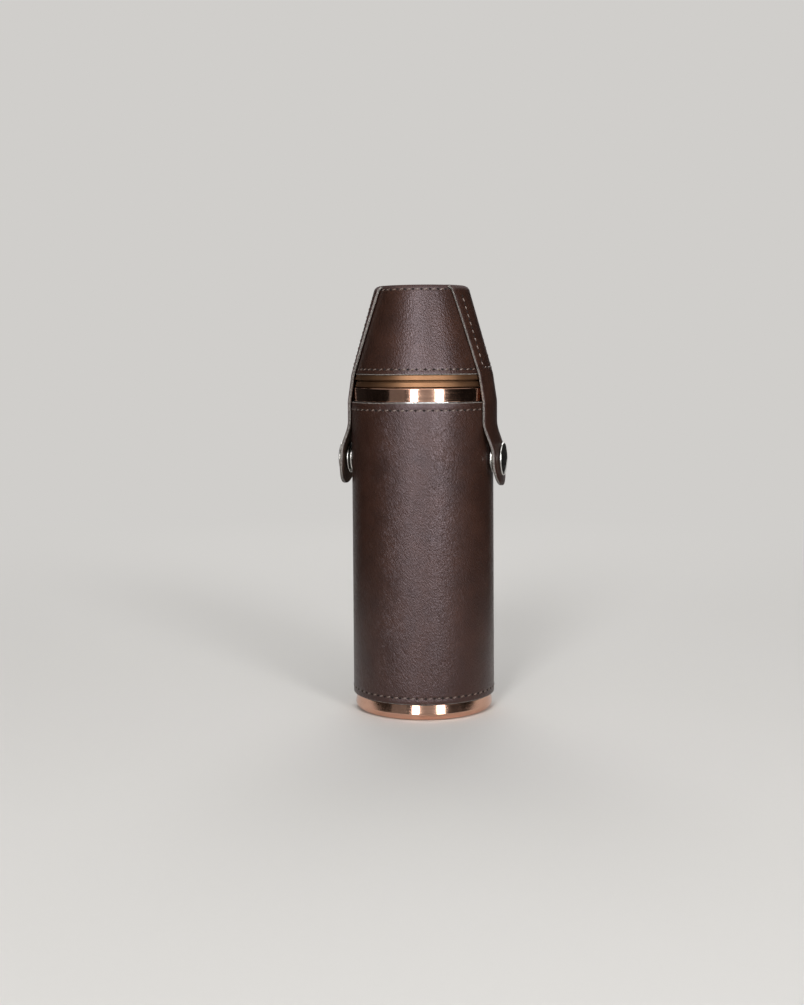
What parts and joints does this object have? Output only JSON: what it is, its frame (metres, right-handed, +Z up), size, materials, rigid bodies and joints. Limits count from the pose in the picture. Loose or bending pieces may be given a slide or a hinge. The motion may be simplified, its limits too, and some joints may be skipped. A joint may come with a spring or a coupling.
{
  "type": "hunter flask",
  "caption": "Round leather-covered drinking flask with a screw stopper, nested metal cups under a leather hood, and a hood strap whose ends fasten to the body with press studs.",
  "frame": {"origin": "centre of the circle that the base stands on", "axes": "+Z up along the flask's axis, +X towards the right-hand strap end, -Y towards the front"},
  "size_m": [0.0654, 0.054, 0.161],
  "materials": {
    "brown_leather": "fine grain, soft sheen",
    "copper_plate": "mirror-polished copper-coloured plate on steel",
    "plain_steel": "plain drawn",
    "nickel": "bright nickel plate",
    "black_rubber": "matt"
  },
  "bodies": {
    "flask": {"base_pan": "copper_plate", "body_tube": "plain_steel", "shoulder": "copper_plate", "neck": "plain_steel", "body_sleeve": "brown_leather", "snap_post_right": "nickel", "snap_stud_right": "nickel", "snap_post_left": "nickel", "snap_stud_left": "nickel"},
    "washer": {"seal_washer": "black_rubber"},
    "stopper": {"stopper_liner": "plain_steel", "stopper_shell": "copper_plate"},
    "lower_cup": {"lower_cup": "copper_plate"},
    "upper_cup": {"upper_cup": "copper_plate"},
    "hood": {"hood_panel": "brown_leather", "hood_top": "brown_leather", "strap_over_hood": "brown_leather"},
    "strap_right": {"strap_end_right": "brown_leather", "snap_socket_right": "nickel", "snap_cap_right": "nickel"},
    "strap_left": {"strap_end_left": "brown_leather", "snap_socket_left": "nickel", "snap_cap_left": "nickel"}
  },
  "joints": [
    {"name": "stopper_rise", "type": "slide", "parent": "flask", "child": "washer", "axis": [0, 0, 1], "range_m": [0, 0.0061]},
    {"name": "stopper_turn", "type": "hinge", "parent": "washer", "child": "stopper", "pos_m": [0, 0, 0.135], "axis": [0, 0, 1], "range_deg": [0, 720]},
    {"name": "lower_cup_lift", "type": "slide", "parent": "flask", "child": "lower_cup", "axis": [0, 0, 1], "range_m": [0, 0.06]},
    {"name": "upper_cup_lift", "type": "slide", "parent": "lower_cup", "child": "upper_cup", "axis": [0, 0, 1], "range_m": [0, 0.06]},
    {"name": "hood_lift", "type": "slide", "parent": "upper_cup", "child": "hood", "axis": [0, 0, 1], "range_m": [0, 0.06]},
    {"name": "strap_right_open", "type": "hinge", "parent": "hood", "child": "strap_right", "pos_m": [0.02707, 0, 0.12755], "axis": [0, -1, 0], "range_deg": [0, 120]},
    {"name": "strap_left_open", "type": "hinge", "parent": "hood", "child": "strap_left", "pos_m": [-0.02707, 0, 0.12755], "axis": [0, 1, 0], "range_deg": [0, 120]}
  ],
  "couplings": [
    {"joint": "stopper_rise", "follows": "stopper_turn", "m_per_rad": 0.00047746}
  ]
}
